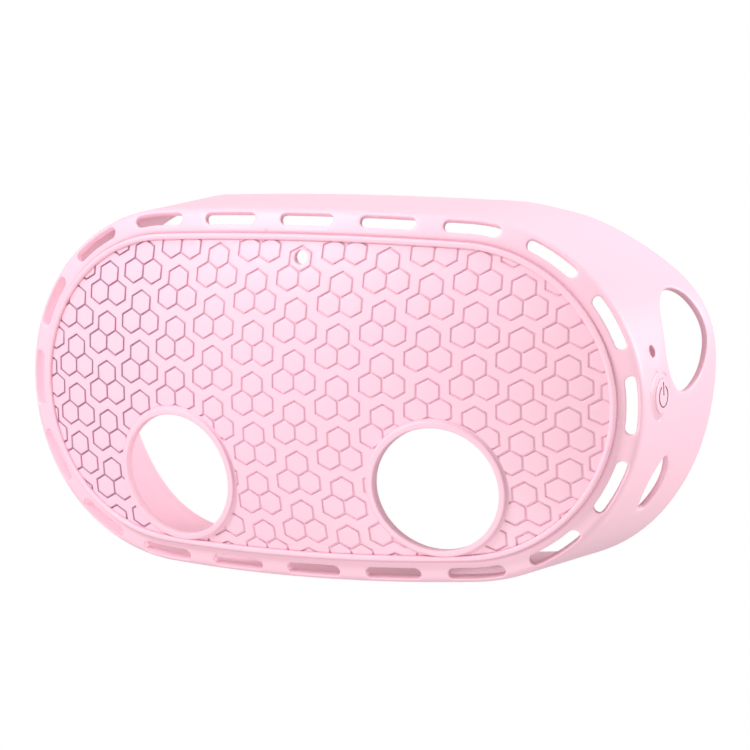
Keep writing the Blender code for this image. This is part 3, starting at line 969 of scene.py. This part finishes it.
# ---- Stage, light and camera ----
def add_plane(name, size, height):
    mesh = bpy.data.meshes.new(name)
    corners = [(x * size, y * size, height) for x, y in ((-1, -1), (1, -1), (1, 1), (-1, 1))]
    mesh.from_pydata(corners, [], [(0, 1, 2, 3)])
    made = bpy.data.objects.new(name, mesh)
    bpy.context.scene.collection.objects.link(made)
    return made


def add_backdrop(radius):
    """Dome all round, so that every view has the same pale surround."""
    builder = bmesh.new()
    bmesh.ops.create_uvsphere(builder, u_segments=48, v_segments=24, radius=radius)
    mesh = bpy.data.meshes.new("backdrop")
    builder.to_mesh(mesh)
    builder.free()
    mesh.shade_smooth()
    made = bpy.data.objects.new("backdrop", mesh)
    bpy.context.scene.collection.objects.link(made)
    return made


def paper(name):
    """Evenly lit white studio paper."""
    material = bpy.data.materials.new(name)
    material.use_nodes = True
    shader = material.node_tree.nodes["Principled BSDF"]
    shader.inputs["Base Color"].default_value = (0, 0, 0, 1)
    shader.inputs["Specular IOR Level"].default_value = 0
    shader.inputs["Roughness"].default_value = 1
    shader.inputs["Emission Color"].default_value = (1, 1, 1, 1)
    shader.inputs["Emission Strength"].default_value = 1
    return material


floor = add_plane("floor", 3, -0.16)
backdrop = add_backdrop(4)
for surface in (floor, backdrop):
    surface.data.materials.append(paper("white_paper"))
    surface.visible_diffuse = surface.visible_glossy = surface.visible_shadow = False


def area_light(name, place, target, size, power):
    lamp = bpy.data.lights.new(name, "AREA")
    lamp.shape = "RECTANGLE"
    lamp.size, lamp.size_y = size
    lamp.energy = power
    made = bpy.data.objects.new(name, lamp)
    made.location = place
    made.rotation_euler = (Vector(target) - Vector(place)).to_track_quat("-Z", "Y").to_euler()
    bpy.context.scene.collection.objects.link(made)
    return made


area_light("key_upper_left", (-0.54, -0.76, 0.8), (0, 0.02, 0), (0.3, 0.3), 10)
area_light("fill_below", (0.05, -0.8, -0.68), (0, 0.02, 0), (0.7, 0.4), 5.5)
area_light("side_right", (0.78, 0.46, 0.22), (0.08, 0.03, 0), (0.5, 0.4), 7.5)
area_light("soft_top", (-0.15, -0.1, 1.05), (0, 0.03, 0), (0.6, 0.6), 4)

world = bpy.data.worlds.new("studio")
bpy.context.scene.world = world
world.use_nodes = True
world.node_tree.nodes["Background"].inputs["Color"].default_value = (1, 1, 1, 1)
world.node_tree.nodes["Background"].inputs["Strength"].default_value = 0.525
bpy.context.scene.view_settings.view_transform = "Standard"
bpy.context.scene.view_settings.look = "None"

azimuth, elevation, roll = (math.radians(v) for v in (25.0, 7.8055, -0.9747))
forward = Vector((
    -math.sin(azimuth) * math.cos(elevation),
    math.cos(azimuth) * math.cos(elevation),
    -math.sin(elevation),
))
right = Vector((math.cos(azimuth), math.sin(azimuth), 0))
up = right.cross(forward)
right, up = (
    math.cos(roll) * right + math.sin(roll) * up,
    -math.sin(roll) * right + math.cos(roll) * up,
)
lens = bpy.data.cameras.new("camera")
lens.sensor_width = 36
lens.lens = 168.2
lens.clip_start = 0.01
camera = bpy.data.objects.new("camera", lens)
bpy.context.scene.collection.objects.link(camera)
place = Vector((0.02132, 0, 0.00704)) - forward * 0.81983
camera.matrix_world = Matrix.Translation(place) @ Matrix((right, up, -forward)).transposed().to_4x4()
bpy.context.scene.camera = camera
